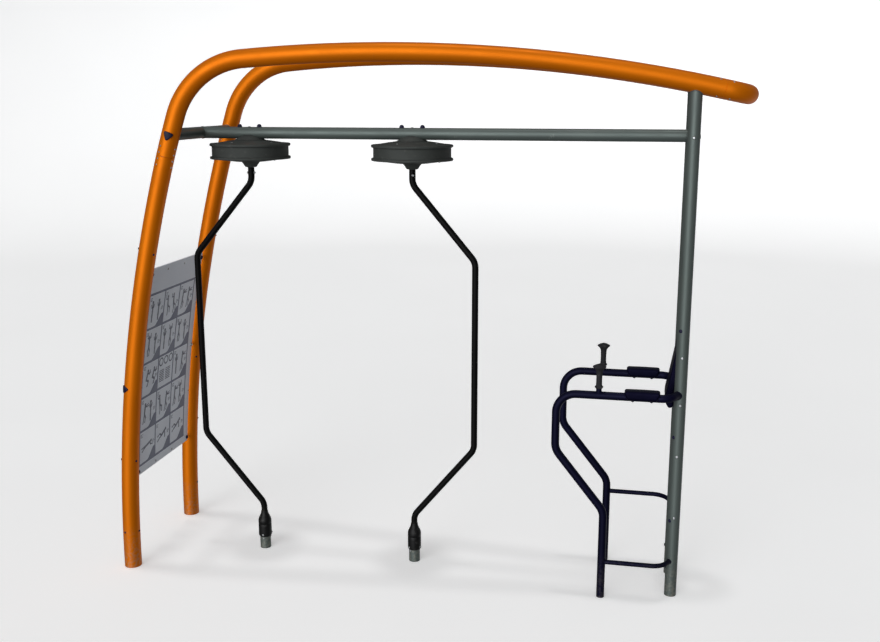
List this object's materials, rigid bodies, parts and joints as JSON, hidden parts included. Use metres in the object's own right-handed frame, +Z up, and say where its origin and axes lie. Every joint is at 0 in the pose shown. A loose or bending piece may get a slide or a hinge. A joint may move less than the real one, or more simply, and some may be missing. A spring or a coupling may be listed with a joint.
{
  "type": "outdoor training station",
  "caption": "Outdoor training station: bent-tube arch over a beam with brake drums and cranked turning poles, a dip and leg-raise frame at the post end, and an exercise sign.",
  "frame": {"origin": "on the ground, under the middle of the overall length and width", "axes": "+X runs along the station from the arch legs and the sign to the posts, +Y across it from the low-step side to the high-step side, +Z up"},
  "size_m": [4.052, 1.0404, 3.4803],
  "materials": {
    "arch_paint": "powder coat, bright orange, satin",
    "post_paint": "powder coat, grey-green, satin",
    "dip_paint": "powder coat, dark navy, satin",
    "pole_paint": "powder coat, black, satin",
    "boot_plastic": "moulded black plastic, satin",
    "drum_plastic": "moulded polyurethane skin, near black, fine grain",
    "grip_rubber": "moulded rubber, charcoal, ribbed",
    "pad_foam": "integral-skin polyurethane foam, dark navy, fine grain",
    "sign_laminate": "compact laminate, blue-grey, with darker printed lines",
    "bolt_cap": "dark navy dome cap",
    "steel": "zinc-plated or stainless steel",
    "aluminium": "turned aluminium",
    "magnet": "nickel-plated magnet ring"
  },
  "bodies": {
    "frame": {"leg_tube_front": "arch_paint", "arch_tube_front": "arch_paint", "leg_splice_front": "steel", "post_front": "post_paint", "dip_tube_front": "dip_paint", "grip_front": "grip_rubber", "arm_pad_front": "pad_foam", "leg_tube_rear": "arch_paint", "arch_tube_rear": "arch_paint", "leg_splice_rear": "steel", "post_rear": "post_paint", "dip_tube_rear": "dip_paint", "grip_rear": "grip_rubber", "arm_pad_rear": "pad_foam", "end_bend": "arch_paint", "crossbeam": "post_paint", "left_cross_tube": "post_paint", "right_cross_tube": "post_paint", "pad_bar_low": "post_paint", "pad_bar_high": "post_paint", "step_low": "dip_paint", "step_high": "dip_paint", "back_pad": "pad_foam", "sign_panel": "sign_laminate", "drum_saddle_left": "drum_plastic", "drum_top_cover_left": "drum_plastic", "drum_band_left": "drum_plastic", "drum_bottom_cover_left": "drum_plastic", "hub_cone_left": "drum_plastic", "upper_bearing_left": "steel", "lower_bearing_left": "steel", "foot_bearing_left": "steel", "brake_magnets_left": "magnet", "beam_bolt_inner_left": "bolt_cap", "beam_bolt_outer_left": "bolt_cap", "stub_post_left": "post_paint", "bearing_cup_left": "boot_plastic", "drum_saddle_right": "drum_plastic", "drum_top_cover_right": "drum_plastic", "drum_band_right": "drum_plastic", "drum_bottom_cover_right": "drum_plastic", "hub_cone_right": "drum_plastic", "upper_bearing_right": "steel", "lower_bearing_right": "steel", "foot_bearing_right": "steel", "brake_magnets_right": "magnet", "beam_bolt_inner_right": "bolt_cap", "beam_bolt_outer_right": "bolt_cap", "stub_post_right": "post_paint", "bearing_cup_right": "boot_plastic"},
    "crank_left": {"crank_pole_left": "pole_paint", "spindle_left": "steel", "cross_bolt_left": "steel", "rotor_disc_left": "aluminium", "boot_left": "boot_plastic"},
    "crank_right": {"crank_pole_right": "pole_paint", "spindle_right": "steel", "cross_bolt_right": "steel", "rotor_disc_right": "aluminium", "boot_right": "boot_plastic"}
  },
  "joints": [
    {"name": "crank_left_turn", "type": "hinge", "parent": "frame", "child": "crank_left", "pos_m": [-1.17882, 0, 1.5], "axis": [0, 0, 1], "continuous": true},
    {"name": "crank_right_turn", "type": "hinge", "parent": "frame", "child": "crank_right", "pos_m": [-0.08082, 0, 1.5], "axis": [0, 0, 1], "continuous": true}
  ]
}
